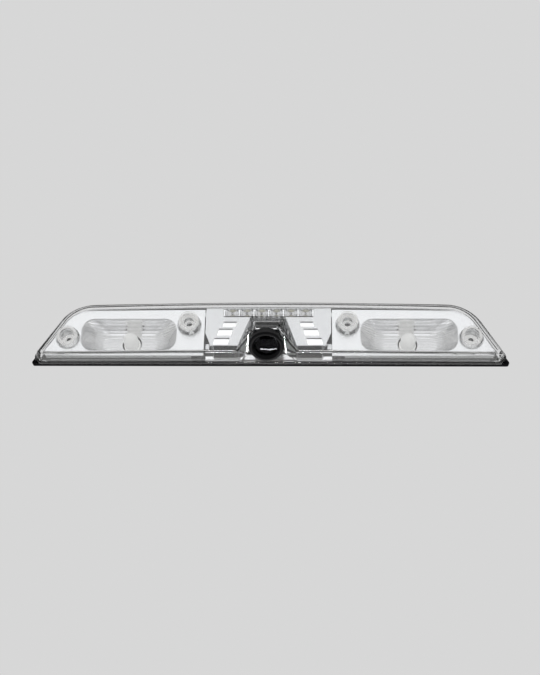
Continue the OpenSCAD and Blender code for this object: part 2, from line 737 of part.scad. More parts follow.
module vent_caps() {
    color([0.1, 0.1, 0.1]) both_sides() {
        fwd_cyl(155, 2, vent_r, -side_tub_back - tub_wall - eps, -side_tub_back);
        difference() {
            fwd_cyl(155, 2, 6.5, -side_tub_back - tub_wall - 3, -side_tub_back - tub_wall);
            for (a = [0:60:300])
                translate([155 + 4.5 * cos(a), 0, 2 + 4.5 * sin(a)])
                    fwd_cyl(0, 0, 0.6, -side_tub_back - tub_wall - 4, -side_tub_back - tub_wall - 1);
        }
    }
}

// ---------------------------------------------------------------- camera

body_half = [10.8, 9.4, -11.2];     // half width, nose side and cab side of the body behind its face
body_back = -15.5;
face_back = -2.4;
face_front = 0.3;
throat_r = 9.6;
groove = [10.6, 11.8];

module camera_body() {
    color([0.05, 0.05, 0.055]) on_camera()
    difference() {
        union() {
            translate([0, 0, face_back]) linear_extrude(height = face_front - face_back) camera_face_shape(0);
            translate([-body_half[0], body_half[2], body_back])
                cube([2 * body_half[0], body_half[1] - body_half[2], face_back - body_back + eps]);
        }
        translate([0, 0, -6]) cylinder(r = throat_r, h = 7);
        translate([-body_half[0] + 1.3, body_half[2] + 1.3, body_back - 1])
            cube([2 * body_half[0] - 2.6, body_half[1] - body_half[2] - 2.6, 10.5]);
        difference() {
            translate([0, 0, face_front - 0.7]) cylinder(r = groove[1], h = 1);
            translate([0, 0, face_front - 1]) cylinder(r = groove[0], h = 2);
        }
        for (side = [-1, 1])
            translate([side * (body_half[0] - 2), 0, -11]) rotate([0, 90 * side, 0])
                cylinder(r = 1, h = 4);
    }
}

neck_r = 4.6;
neck_end = -25;

module camera_back_cover() {
    color([0.07, 0.07, 0.075]) on_camera()
    difference() {
        union() {
            translate([-body_half[0], body_half[2], body_back - 1.6])
                cube([2 * body_half[0], body_half[1] - body_half[2], 1.6]);
            translate([0, -1, neck_end]) cylinder(r = neck_r, h = body_back - neck_end - 1);
        }
        translate([0, -1, neck_end - 1]) cylinder(r = lead_r + 0.15, h = 14);
    }
}

glass_seat = 4;
glass_t = 1.2;

module camera_ring() {
    color([0.03, 0.03, 0.03]) on_camera() rotate_extrude($fn = 96) polygon([
        [8.2, -5], [throat_r - 0.1, -5], [throat_r - 0.1, face_front], [ring_r - 0.5, face_front],
        [ring_r, face_front + 0.5], [ring_r, ring_proud - 1.4], [ring_r - 1.2, ring_proud], [12.8, ring_proud],
        [10.6, ring_proud - 2.6], [10.6, glass_seat], [8.2, glass_seat]]);
}

module camera_ring_seal() {
    color([0.15, 0.15, 0.15]) on_camera() translate([0, 0, face_front - 0.7]) difference() {
        cylinder(r = groove[1], h = 0.7);
        translate([0, 0, -1]) cylinder(r = groove[0], h = 3);
    }
}

// A slightly domed window that rests on the ring's ledge.
module camera_cover_glass() {
    color([0.3, 0.33, 0.36, 0.5]) on_camera() rotate_extrude($fn = 96)
        polygon(concat([[0, glass_seat]], [[10.5, glass_seat]],
            [for (i = [0:6]) let (r = 10.5 * (1 - i / 6)) [r, glass_seat + glass_t + 0.9 * (1 - pow(r / 10.5, 2))]]));
}

module lens_barrel() {
    color([0.06, 0.06, 0.06]) on_camera() rotate_extrude() polygon([
        [3.6, -9], [7.9, -9], [7.9, 2.6], [6.6, 3.3], [5.4, 2.2], [5.4, -1], [3.6, -2.4]]);
}

module front_lens_element() {
    color([0.35, 0.3, 0.5, 0.6]) on_camera() rotate_extrude() polygon(concat([[0, -0.9], [5.4, -0.9]],
        [for (a = [0:15:90]) [5.4 * cos(a), 0.2 + 2.9 * sin(a)]]));
}

module rear_lens_element() {
    color([0.5, 0.55, 0.6, 0.6]) on_camera() translate([0, 0, -8.2]) cylinder(r = 3.6, h = 1.6);
}

module sensor_board() {
    color([0.1, 0.35, 0.2]) on_camera() translate([-8.7, body_half[2] + 1.8, -12.6])
        cube([17.4, body_half[1] - body_half[2] - 3.6, 1.2]);
}

module image_sensor() {
    color([0.25, 0.25, 0.3]) on_camera() translate([-3.5, -2.8, -11.4]) cube([7, 5.6, 0.9]);
}

bracket_x = [body_half[0] + 0.15, body_half[0] + 2];
bracket_z = [-20.4, -4.5];
bracket_screw_x = 8;
bracket_screw_z = -15;

// Place of the camera's side screws.
side_screw_h = ring_centre_h - 11 * cos(camera_tilt);
side_screw_z = ring_centre_z + 11 * sin(camera_tilt);

module camera_bracket() {
    color([0.09, 0.09, 0.1])
    difference() {
        union() {
            slab(-bracket_x[1], bracket_x[1], -centre_tub[3], -centre_tub[3] + 2, bracket_z[0], bracket_z[1]);
            both_sides() {
                slab(bracket_x[0], bracket_x[1], -centre_tub[3], 24, bracket_z[0], bracket_z[1]);
                slab(bracket_x[0], bracket_x[1], 22, side_screw_h - 3, side_screw_z - 4.5, side_screw_z + 4.5);
                translate([bracket_x[0], -side_screw_h + 0.5, side_screw_z]) rotate([0, 90, 0])
                    cylinder(r = 4.5, h = bracket_x[1] - bracket_x[0]);
            }
        }
        both_sides() translate([0, -side_screw_h, side_screw_z]) rotate([0, 90, 0]) cylinder(r = 1.2, h = 20);
        fwd_cyl(0, camera_inlet_z, camera_inlet_r, -centre_tub[3] - 1, -centre_tub[3] + 5);
        for (x = [-bracket_screw_x, bracket_screw_x]) fwd_cyl(x, bracket_screw_z, pilot_r + 0.2, -centre_tub[3] - 1, -centre_tub[3] + 5);
    }
}

module camera_screws() {
    color([0.55, 0.55, 0.57]) {
        for (side = [-1, 1])
            translate([side * bracket_x[0], -side_screw_h, side_screw_z]) rotate([0, 90 * side, 0]) {
                translate([0, 0, -2]) cylinder(r = 1, h = 3.9);
                translate([0, 0, bracket_x[1] - bracket_x[0]]) cylinder(r = 2.1, h = 1.2);
            }
        for (x = [-bracket_screw_x, bracket_screw_x]) small_screw(x, bracket_screw_z, -centre_tub[3] + 2, -centre_tub[3] - tub_wall, true);
    }
}

lead_r = 1.9;

// Route of the camera's own lead, from its neck to its inlet: depth and height of each point.
lead_route = [[29.1, -11.95], [26.1, -6.75], [24.3, -3.6], [21.6, -0.6], [17.6, 1], [13, 1], [8.5, -0.4],
    [4, -1.6], [-1, -2], [-6, -2], [-11, -2], [-16, -2]];

// A tube through a route that stays in the middle plane.
module middle_tube(route, r) {
    sides = 10;
    last = len(route) - 1;
    function along(i) = let (a = route[max(i - 1, 0)], b = route[min(i + 1, last)], d = b - a) d / norm(d);
    points = [for (i = [0:last]) for (j = [0:sides - 1])
        let (t = along(i), a = 360 * j / sides)
            [r * cos(a), -(route[i][0] - t[1] * r * sin(a)), route[i][1] + t[0] * r * sin(a)]];
    walls = [for (i = [0:last - 1]) for (j = [0:sides - 1])
        [i * sides + j, i * sides + (j + 1) % sides, (i + 1) * sides + (j + 1) % sides, (i + 1) * sides + j]];
    start = [for (j = [sides - 1:-1:0]) j];
    end = [for (j = [0:sides - 1]) last * sides + j];
    polyhedron(points, concat(walls, [start, end]), convexity = 6);
}

module camera_lead() {
    color([0.1, 0.1, 0.1]) middle_tube(lead_route, lead_r);
}

// ---------------------------------------------------------------- inlets

inlet_w = 22;
inlet_d = 13;
inlet_len = 16;
camera_inlet_r = 7;
inlet_back = -centre_tub[3] - tub_wall;
camera_pin_r = 0.8;

module lamp_connector_inlet() {
    color([0.13, 0.13, 0.14])
    difference() {
        union() {
            translate([lamp_inlet_x, 0, lamp_inlet_z]) {
                fwd(inlet_back - inlet_len, inlet_back) round_box(-inlet_w / 2, inlet_w / 2, -inlet_d / 2, inlet_d / 2, 2);
                fwd(inlet_back - 2, inlet_back) round_box(-inlet_w / 2 - 2, inlet_w / 2 + 2, -inlet_d / 2 - 2,
                    inlet_d / 2 + 2, 3);
                slab(-inlet_w / 2 + 2.1, inlet_w / 2 - 2.1, inlet_back - eps, inlet_back + tub_wall,
                    -inlet_d / 2 + 2.1, inlet_d / 2 - 2.1);
                slab(-4, 4, inlet_back - 10, inlet_back - 7, inlet_d / 2 - eps, inlet_d / 2 + 1.6);
            }
        }
        translate([lamp_inlet_x, 0, lamp_inlet_z]) {
            fwd(inlet_back - inlet_len - 1, inlet_back - 2)
                round_box(-inlet_w / 2 + 1.5, inlet_w / 2 - 1.5, -inlet_d / 2 + 1.5, inlet_d / 2 - 1.5, 1);
            for (x = pin_xs) slab(x - 1, x + 1, inlet_back - 3, inlet_back + 3, -0.5, 0.5);
        }
    }
}

pin_xs = [-6, -2, 2, 6];

module lamp_connector_pins() {
    color([0.85, 0.72, 0.4]) translate([lamp_inlet_x, 0, lamp_inlet_z])
        for (x = pin_xs) slab(x - 1, x + 1, inlet_back - inlet_len + 3, inlet_back + 4, -0.5, 0.5);
}

// Round inlet of the camera's harness.
module camera_connector_inlet() {
    color([0.13, 0.13, 0.14])
    difference() {
        union() {
            fwd_cyl(0, camera_inlet_z, camera_inlet_r, inlet_back - 14, inlet_back);
            fwd_cyl(0, camera_inlet_z, camera_inlet_r + 1.5, inlet_back - 2, inlet_back);
            fwd_cyl(0, camera_inlet_z, camera_inlet_r - 1.7, inlet_back - eps, inlet_back + tub_wall + 2);
        }
        fwd_cyl(0, camera_inlet_z, camera_inlet_r - 1.4, inlet_back - 15, inlet_back - 2);
        fwd_cyl(0, camera_inlet_z, camera_pin_r, inlet_back - 3, inlet_back + 10);
    }
}

module camera_connector_pin() {
    color([0.85, 0.72, 0.4]) fwd_cyl(0, camera_inlet_z, camera_pin_r, inlet_back - 11, inlet_back + tub_wall + 1);
}

outer_lens();
lens_seal_bead();
rear_housing();
perimeter_gasket();
screw_hole_seals();
centre_bezel();
side_bezel_left();
side_bezel_right();
bezel_screws();
brake_reflector_tray();
slot_diffuser_left();
slot_diffuser_right();
brake_led_board();
brake_leds();
board_resistors();
led_driver();
board_header();
board_screws();
cargo_reflector_left();
cargo_reflector_right();
cargo_bulb_left();
cargo_bulb_right();
cargo_socket_left();
cargo_socket_right();
socket_seal_left();
socket_seal_right();
socket_contacts_left();
socket_contacts_right();
camera_body();
camera_back_cover();
camera_ring();
camera_ring_seal();
camera_cover_glass();
lens_barrel();
front_lens_element();
rear_lens_element();
sensor_board();
image_sensor();
camera_bracket();
camera_screws();
camera_lead();
lamp_connector_inlet();
lamp_connector_pins();
camera_connector_inlet();
camera_connector_pin();
vent_caps();
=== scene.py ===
import logging
import math
from dataclasses import dataclass, field
from enum import Enum
from typing import Dict, Iterable, List, Optional, Sequence, Tuple, Union

import bmesh
import bpy
from mathutils import Matrix, Vector


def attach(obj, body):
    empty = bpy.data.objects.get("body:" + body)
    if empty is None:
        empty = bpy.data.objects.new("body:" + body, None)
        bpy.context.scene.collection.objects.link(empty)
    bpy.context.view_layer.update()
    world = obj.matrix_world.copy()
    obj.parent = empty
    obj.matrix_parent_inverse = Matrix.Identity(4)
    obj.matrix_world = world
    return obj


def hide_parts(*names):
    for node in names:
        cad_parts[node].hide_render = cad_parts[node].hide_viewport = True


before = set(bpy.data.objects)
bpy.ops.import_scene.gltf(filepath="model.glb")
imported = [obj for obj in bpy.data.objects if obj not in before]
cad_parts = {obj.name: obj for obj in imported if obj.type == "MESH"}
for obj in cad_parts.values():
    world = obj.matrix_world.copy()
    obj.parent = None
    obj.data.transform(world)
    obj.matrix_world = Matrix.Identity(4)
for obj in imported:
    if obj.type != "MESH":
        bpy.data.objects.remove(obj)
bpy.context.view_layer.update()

MM = 0.001
WAVE_TURNS = 20.0  # radians that Blender's wave texture turns per unit of its scaled place
LOG = logging.getLogger("brake_light")
Colour = Tuple[float, float, float]
Point2 = Tuple[float, float]
Point3 = Tuple[float, float, float]


class Body(Enum):
    """The bodies that a piece may ride on."""

    LAMP = "lamp"
    LEFT_SOCKET = "left_socket"
    RIGHT_SOCKET = "right_socket"


class Side(Enum):
    """The two mirrored ends of the lamp, as the sign of their X."""

    LEFT = -1
    RIGHT = 1

    def node(self, stem: str) -> str:
        """Name of this side's frame node with that stem."""
        return f"{stem}_{self.name.lower()}"

    def socket_body(self) -> Body:
        """Body of this side's bulb socket."""
        return Body.LEFT_SOCKET if self is Side.LEFT else Body.RIGHT_SOCKET


# ---------------------------------------------------------------- shader graphs


class Signal:
    """A number that varies over a surface. Python's operators add the Math nodes."""

    def __init__(self, sheet: "ShaderSheet", socket: bpy.types.NodeSocket) -> None:
        """Wraps a socket.

        Args:
            sheet: The graph that the socket is in.
            socket: An output socket that carries a number.
        """
        self.sheet = sheet
        self.socket = socket

    def _maths(self, operation: str, first: "Value", second: "Value", clamp: bool = False) -> "Signal":
        """Adds one Math node and returns its result."""
        settings = {"operation": operation, "use_clamp": clamp}
        made = self.sheet.node("ShaderNodeMath", settings, {0: first, 1: second})
        return Signal(self.sheet, made.outputs[0])

    def __add__(self, other: "Value") -> "Signal":
        """Sum."""
        return self._maths("ADD", self, other)

    def __radd__(self, other: "Value") -> "Signal":
        """Sum, reflected."""
        return self._maths("ADD", other, self)

    def __sub__(self, other: "Value") -> "Signal":
        """Difference."""
        return self._maths("SUBTRACT", self, other)

    def __rsub__(self, other: "Value") -> "Signal":
        """Difference, reflected."""
        return self._maths("SUBTRACT", other, self)

    def __mul__(self, other: "Value") -> "Signal":
        """Product."""
        return self._maths("MULTIPLY", self, other)

    def __rmul__(self, other: "Value") -> "Signal":
        """Product, reflected."""
        return self._maths("MULTIPLY", other, self)

    def over(self, level: float) -> "Signal":
        """1 where the signal is above a level, and 0 elsewhere."""
        return self._maths("GREATER_THAN", self, level)

    def held(self) -> "Signal":
        """The signal kept between 0 and 1."""
        return self._maths("ADD", self, 0.0, clamp=True)


Value = Union[float, Colour, Signal, bpy.types.NodeSocket]


class ShaderSheet:
    """One material's node graph, with the few nodes that the finishes share."""

    def __init__(self, name: str) -> None:
        """Starts an empty graph.

        Args:
            name: Name of the material.
        """
        self.material = bpy.data.materials.new(name)
        self.material.use_nodes = True
        self.tree = self.material.node_tree
        self.tree.nodes.clear()
        self.place = self.node("ShaderNodeTexCoord").outputs["Object"]

    def node(
        self,
        kind: str,
        settings: Optional[Dict[str, object]] = None,
        inputs: Optional[Dict[object, "Value"]] = None,
    ) -> bpy.types.Node:
        """Adds a node.

        Args:
            kind: The node's type.
            settings: Properties to set first.
            inputs: Values or links of its sockets, by name or number.

        Returns:
            The node.
        """
        made = self.tree.nodes.new(kind)
        for key, value in (settings or {}).items():
            setattr(made, key, value)
        for key, value in (inputs or {}).items():
            socket = made.inputs[key]
            if isinstance(value, Signal):
                self.tree.links.new(value.socket, socket)
            elif isinstance(value, bpy.types.NodeSocket):
                self.tree.links.new(value, socket)
            elif isinstance(value, tuple) and socket.type == "RGBA":
                socket.default_value = (*value, 1.0)
            else:
                socket.default_value = value
        return made

    def noise(self, feature_mm: float, detail: float = 2.0, stretch: Point3 = (1.0, 1.0, 1.0)) -> Signal:
        """Smooth noise from 0 to 1.

        Args:
            feature_mm: Rough size of its features.
            detail: Number of finer layers.
            stretch: Scale along each axis.

        Returns:
            The noise.
        """
        drawn = self.node("ShaderNodeMapping", {}, {"Vector": self.place, "Scale": stretch}).outputs[0]
        scale = 1.0 / (feature_mm * MM)
        made = self.node("ShaderNodeTexNoise", {}, {"Vector": drawn, "Scale": scale, "Detail": detail})
        return Signal(self, made.outputs["Fac"])

    def cells(self, feature_mm: float) -> Signal:
        """Distance to the nearest of many scattered points, for pores and grain."""
        made = self.node("ShaderNodeTexVoronoi", {}, {"Vector": self.place, "Scale": 1.0 / (feature_mm * MM)})
        return Signal(self, made.outputs["Distance"])

    def waves(
        self, pitch_mm: float, direction: str, wander: float = 0.0, wander_scale: float = 1.0
    ) -> Signal:
        """Parallel waves from 0 to 1.

        Args:
            pitch_mm: Distance between two crests.
            direction: Axis that the waves cross.
            wander: How far they wander.
            wander_scale: Scale of that wandering.

        Returns:
            The waves.
        """
        made = self.node(
            "ShaderNodeTexWave",
            {"wave_type": "BANDS", "bands_direction": direction, "wave_profile": "SIN"},
            {
                "Vector": self.place,
                "Scale": math.tau / (WAVE_TURNS * pitch_mm * MM),
                "Distortion": wander,
                "Detail Scale": wander_scale,
            },
        )
        return Signal(self, made.outputs["Fac"])

    def blend(self, factor: Signal, low: Colour, high: Colour) -> bpy.types.NodeSocket:
        """Mixes two colours by a signal.

        Args:
            factor: The signal.
            low: Colour where it is 0.
            high: Colour where it is 1.

        Returns:
            The mixed colour.
        """
        made = self.node("ShaderNodeMix", {"data_type": "RGBA"}, {"Factor": factor})
        made.inputs[6].default_value = (*low, 1.0)
        made.inputs[7].default_value = (*high, 1.0)
        return made.outputs[2]

    def bump(self, height: Signal, depth_mm: float) -> bpy.types.NodeSocket:
        """A normal from a height signal."""
        made = self.node("ShaderNodeBump", {}, {"Height": height, "Distance": depth_mm * MM, "Strength": 1.0})
        return made.outputs[0]

    def surface(self, **inputs: "Value") -> bpy.types.Material:
        """Ends the graph in one Principled shader.

        Args:
            inputs: Its sockets, with _ for each space.

        Returns:
            The finished material.
        """
        named = {key.replace("_", " "): value for key, value in inputs.items()}
        shader = self.node("ShaderNodeBsdfPrincipled", {}, named)
        output = self.node("ShaderNodeOutputMaterial")
        self.tree.links.new(shader.outputs[0], output.inputs[0])
        return self.material


# ---------------------------------------------------------------- finishes


@dataclass(frozen=True)
class Finish:
    """A named surface finish. Each kind paints its own graph, once."""

    name: str

    def material(self) -> bpy.types.Material:
        """The finish's material, made on first use."""
        return bpy.data.materials.get(self.name) or self.paint(ShaderSheet(self.name))

    def paint(self, sheet: ShaderSheet) -> bpy.types.Material:
        """Builds the graph.

        Args:
            sheet: An empty graph.

        Returns:
            The finished material.
        """
        raise NotImplementedError


@dataclass(frozen=True)
class ClearMoulding(Finish):
    """Water-clear moulded plastic that bends light, with the faint ripple of a moulded wall."""

    tint: Colour = (0.985, 0.99, 0.995)
    ripple_mm: float = 26.0
    ripple_depth_mm: float = 0.02
    haze: float = 0.015
    dust_mm: float = 3.0
    dust_haze: float = 0.03
    bend: float = 1.49

    def paint(self, sheet: ShaderSheet) -> bpy.types.Material:
        """Builds the clear graph.

        Args:
            sheet: An empty graph.

        Returns:
            The finished material.
        """
        ripple = sheet.noise(self.ripple_mm, 1.0)
        dust = sheet.noise(self.dust_mm, 4.0)
        return sheet.surface(
            Base_Color=self.tint,
            Roughness=self.haze + self.dust_haze * dust * dust,
            IOR=self.bend,
            Transmission_Weight=1.0,
            Normal=sheet.bump(ripple, self.ripple_depth_mm),
        )


@dataclass(frozen=True)
class MirrorCoat(Finish):
    """Vacuum-metallised plastic: a bright coat with slight haze and orange peel."""

    colour: Colour = (0.93, 0.935, 0.94)
    roughness: float = 0.09
    haze: float = 0.07
    peel_mm: float = 1.6
    peel_depth_mm: float = 0.006
    cloud_mm: float = 14.0
    shade: float = 0.93

    def paint(self, sheet: ShaderSheet) -> bpy.types.Material:
        """Builds the mirror graph.

        Args:
            sheet: An empty graph.

        Returns:
            The finished material.
        """
        cloud = sheet.noise(self.cloud_mm, 3.0)
        peel = sheet.noise(self.peel_mm, 2.0)
        shade = tuple(self.shade * c for c in self.colour)
        return sheet.surface(
            Base_Color=sheet.blend(cloud, shade, self.colour),
            Metallic=1.0,
            Roughness=self.roughness + self.haze * cloud,
            Normal=sheet.bump(peel, self.peel_depth_mm),
        )


@dataclass(frozen=True)
class FlutedCoat(MirrorCoat):
    """The same coat over fine level flutes, with painted shade in their troughs."""

    pitch_mm: float = 1.6
    flute_depth_mm: float = 0.12
    shade: float = 0.88

    def paint(self, sheet: ShaderSheet) -> bpy.types.Material:
        """Builds the fluted mirror graph.

        Args:
            sheet: An empty graph.

        Returns:
            The finished material.
        """
        flutes = sheet.waves(self.pitch_mm, "Z")
        cloud = sheet.noise(self.cloud_mm, 3.0)
        shade = tuple(self.shade * c for c in self.colour)
        return sheet.surface(
            # The base colour is darker in the flutes' troughs: painted shade.
            Base_Color=sheet.blend(flutes, shade, self.colour),
            Metallic=1.0,
            Roughness=self.roughness + self.haze * cloud,
            Normal=sheet.bump(flutes, self.flute_depth_mm),
        )


@dataclass(frozen=True)
class Moulded(Finish):
    """Opaque moulded plastic or rubber with a fine grain, uneven gloss and a little dust."""

    colour: Colour = (0.05, 0.05, 0.05)
    roughness: float = 0.45
    spread: float = 0.15
    grain_mm: float = 0.5
    grain_depth_mm: float = 0.02
    dust: float = 0.25
    shine: float = 0.5
    cloud_mm: float = 18.0
    dust_grey: float = 0.015

    def paint(self, sheet: ShaderSheet) -> bpy.types.Material:
        """Builds the moulded graph.

        Args:
            sheet: An empty graph.

        Returns:
            The finished material.
        """
        grain = sheet.cells(self.grain_mm)
        cloud = sheet.noise(self.cloud_mm, 4.0)
        paler = tuple(min(1.0, c * (1 + self.dust) + self.dust_grey * self.dust) for c in self.colour)
        return sheet.surface(
            Base_Color=sheet.blend(cloud * cloud, self.colour, paler),
            Roughness=self.roughness + self.spread * (cloud - 0.5),
            Specular_IOR_Level=self.shine,
            Normal=sheet.bump(grain, self.grain_depth_mm),
        )


@dataclass(frozen=True)
class Foam(Finish):
    """Closed-cell foam with open pores along its cut faces, with painted shade in the pores."""

    colour: Colour = (0.007, 0.007, 0.008)
    pore_mm: float = 0.9
    pore_depth_mm: float = 0.12
    wear_mm: float = 9.0
    roughness: float = 0.88
    pore_shade: float = 0.4

    def paint(self, sheet: ShaderSheet) -> bpy.types.Material:
        """Builds the foam graph.

        Args:
            sheet: An empty graph.

        Returns:
            The finished material.
        """
        pores = sheet.cells(self.pore_mm)
        worn = sheet.noise(self.wear_mm, 3.0)
        pore_shade = tuple(self.pore_shade * c for c in self.colour)
        return sheet.surface(
            # Darker in the pores, which is painted shade, and paler where worn.
            Base_Color=sheet.blend((pores * 1.3 + worn * 0.3).held(), pore_shade, self.colour),
            Roughness=self.roughness + 0.1 * worn,
            Specular_IOR_Level=0.05,
            Normal=sheet.bump(pores, self.pore_depth_mm),
        )


@dataclass(frozen=True)
class Plated(Finish):
    """Plated steel or brass strip with fine drawn lines."""

    colour: Colour = (0.62, 0.62, 0.63)
    roughness: float = 0.28
    grain: Point3 = (1.0, 14.0, 14.0)
    line_mm: float = 2.4
    line_depth_mm: float = 0.004
    cloud_mm: float = 5.0
    dark: float = 0.8

    def paint(self, sheet: ShaderSheet) -> bpy.types.Material:
        """Builds the plated graph.

        Args:
            sheet: An empty graph.

        Returns:
            The finished material.
        """
        lines = sheet.noise(self.line_mm, 3.0, self.grain)
        cloud = sheet.noise(self.cloud_mm, 2.0)
        dark = tuple(self.dark * c for c in self.colour)
        return sheet.surface(
            Base_Color=sheet.blend(cloud, dark, self.colour),
            Metallic=1.0,
            Roughness=self.roughness + 0.14 * lines,
            Normal=sheet.bump(lines, self.line_depth_mm),
        )


@dataclass(frozen=True)
class Milky(Finish):
    """Milk-white light guide: glossy skin over a body that scatters light, with a painted glow: an emission
    that brightens the part.
    """

    colour: Colour = (0.95, 0.95, 0.94)
    painted_glow: float = 0.0
    roughness: float = 0.22
    cloud_mm: float = 7.0
    grain_mm: float = 0.6
    grain_depth_mm: float = 0.01
    shade: float = 0.95

    def paint(self, sheet: ShaderSheet) -> bpy.types.Material:
        """Builds the milky graph.

        Args:
            sheet: An empty graph.

        Returns:
            The finished material.
        """
        cloud = sheet.noise(self.cloud_mm, 2.0)
        grain = sheet.noise(self.grain_mm, 2.0)
        shade = tuple(self.shade * c for c in self.colour)
        return sheet.surface(
            Base_Color=sheet.blend(cloud, shade, self.colour),
            Roughness=self.roughness + 0.1 * cloud,
            Coat_Weight=0.3,
            # Painted light: an emission that brightens the part.
            Emission_Color=self.colour,
            Emission_Strength=self.painted_glow,
            Normal=sheet.bump(grain, self.grain_depth_mm),
        )


@dataclass(frozen=True)
class Laminate(Finish):
    """Circuit board: satin mask over raised tracks that wander."""

    colour: Colour = (0.72, 0.75, 0.73)
    track: Colour = (0.6, 0.64, 0.61)
    pitch_mm: float = 4.7124
    wander: float = 6.0
    wander_scale: float = 0.6
    track_level: float = 0.62
    weave_mm: float = 0.8
    relief_mm: float = 0.04

    def paint(self, sheet: ShaderSheet) -> bpy.types.Material:
        """Builds the laminate graph.

        Args:
            sheet: An empty graph.

        Returns:
            The finished material.
        """
        tracks = sheet.waves(self.pitch_mm, "X", self.wander, self.wander_scale).over(self.track_level)
        weave = sheet.noise(self.weave_mm, 2.0)
        return sheet.surface(
            Base_Color=sheet.blend(tracks, self.colour, self.track),
            Roughness=0.35 + 0.15 * weave,
            Coat_Weight=0.2,
            Normal=sheet.bump(tracks * 0.7 + weave * 0.3, self.relief_mm),
        )


@dataclass(frozen=True)
class DarkOptic(Finish):
    """Front element of a camera: a dark glossy dome with a faint violet bloom painted into its base colour, a
    painted reflection of its coat.
    """

    colour: Colour = (0.012, 0.008, 0.022)
    depth: Colour = (0.002, 0.002, 0.004)
    bloom_mm: float = 4.0

    def paint(self, sheet: ShaderSheet) -> bpy.types.Material:
        """Builds the dark glass graph.

        Args:
            sheet: An empty graph.

        Returns:
            The finished material.
        """
        bloom = sheet.noise(self.bloom_mm, 1.0)
        return sheet.surface(
            # The violet in the base colour is a painted reflection of the lens coat.
            Base_Color=sheet.blend(bloom, self.depth, self.colour),
            Roughness=0.03 + 0.03 * bloom,
            Coat_Weight=0.12,
            Coat_Roughness=0.02,
            Specular_IOR_Level=0.15,
        )


@dataclass(frozen=True)
class CoatedGlass(Finish):
    """Optical glass with a coloured anti-reflection coat."""

    tint: Colour = (0.9, 0.93, 0.95)
    roughness: float = 0.0
    coat: Colour = (0.9, 0.9, 1.0)
    bend: float = 1.52
    smear_mm: float = 6.0

    def paint(self, sheet: ShaderSheet) -> bpy.types.Material:
        """Builds the glass graph.

        Args:
            sheet: An empty graph.

        Returns:
            The finished material.
        """
        smear = sheet.noise(self.smear_mm, 3.0)
        return sheet.surface(
            Base_Color=sheet.blend(smear, self.tint, tuple(0.97 * c for c in self.tint)),
            Roughness=self.roughness + 0.02 * smear,
            IOR=self.bend,
            Transmission_Weight=1.0,
            Specular_IOR_Level=0.2,
            Specular_Tint=self.coat,
        )


CLEAR = ClearMoulding("clear_polycarbonate")
BEZEL_COAT = MirrorCoat("bezel_coat", colour=(0.82, 0.825, 0.832), roughness=0.16, haze=0.08)
# A darker copy of the bezel coat on the centre bezel: painted shade.
SHADED_CENTRE_COAT = MirrorCoat("centre_bezel_shaded_coat", colour=(0.7, 0.705, 0.712), roughness=0.15, haze=0.1)
CELL_COAT = MirrorCoat("cell_coat", colour=(0.96, 0.96, 0.965), roughness=0.06, haze=0.05)
REFLECTOR_COAT = FlutedCoat("reflector_coat", colour=(0.96, 0.96, 0.965), roughness=0.1, haze=0.06)
HOUSING_BLACK = Moulded("housing_black", (0.035, 0.036, 0.038), 0.5, grain_mm=0.7, dust=0.3)
SEAL_BEAD = Moulded("seal_bead_black", (0.012, 0.012, 0.012), 0.35, grain_mm=1.4)
FOAM_BLACK = Foam("gasket_foam_black")
SCREW_ZINC = Plated("screw_zinc")
CONTACT_BRASS = Plated("contact_brass", colour=(0.78, 0.6, 0.3), roughness=0.22)
# The glow of these four finishes is painted light, an emission that brightens the slot guides, washers, bulbs
# and LEDs.
GUIDE_WHITE_PAINTED_GLOW = Milky("guide_white_painted_glow", painted_glow=0.8)
WASHER_PAINTED_GLOW = Milky("washer_white_painted_glow", painted_glow=0.5)
BULB_WHITE = Milky("bulb_white", colour=(0.96, 0.96, 0.94), painted_glow=0.3)
LED_DOME = Milky("led_phosphor", colour=(0.93, 0.9, 0.78), painted_glow=0.15, roughness=0.1)
BOARD_MASK = Laminate("board_mask")
SENSOR_MASK = Laminate("sensor_board_mask", (0.03, 0.12, 0.06), (0.05, 0.18, 0.09), pitch_mm=1.885)
CHIP_BLACK = Moulded("chip_black", (0.02, 0.02, 0.022), 0.5, grain_mm=0.2)
NYLON = Moulded("natural_nylon", (0.78, 0.75, 0.66), 0.38, grain_mm=0.9, dust=0.05)
SOCKET_BLACK = Moulded("socket_black", (0.022, 0.022, 0.024), 0.42)
SEAL_RUBBER = Moulded("seal_rubber", (0.03, 0.03, 0.032), 0.55, grain_mm=0.35)
O_RING = Moulded("ring_rubber", (0.02, 0.02, 0.02), 0.5)
CAMERA_BLACK = Moulded(
    "camera_black", (0.003, 0.003, 0.0035), 0.4, grain_mm=0.4, grain_depth_mm=0.008, shine=0.08
)
RING_BLACK = Moulded(
    "ring_black", (0.0025, 0.0025, 0.003), 0.25, spread=0.06, grain_depth_mm=0.003, shine=0.08
)
BRACKET_BLACK = Moulded("bracket_black", (0.003, 0.003, 0.0035), 0.5, shine=0.12)
LEAD_BLACK = Moulded("lead_black", (0.012, 0.012, 0.012), 0.48, grain_mm=0.25)
INLET_BLACK = Moulded("inlet_black", (0.02, 0.02, 0.022), 0.46)
VENT_BLACK = Moulded("vent_black", (0.018, 0.018, 0.018), 0.6)
WINDOW_GLASS = CoatedGlass("window_glass", tint=(0.16, 0.16, 0.17), bend=1.22)
OPTIC_GLASS = CoatedGlass("optic_glass", tint=(0.4, 0.4, 0.44), coat=(0.75, 0.72, 0.85))
FRONT_OPTIC = DarkOptic("front_optic")
CARD_BLACK = Moulded("card_black", (0.01, 0.01, 0.01), 0.9)
STUDIO_PAPER = Moulded("studio_paper", (0.8, 0.8, 0.79), 0.8, grain_mm=2.0)


# ---------------------------------------------------------------- workbench


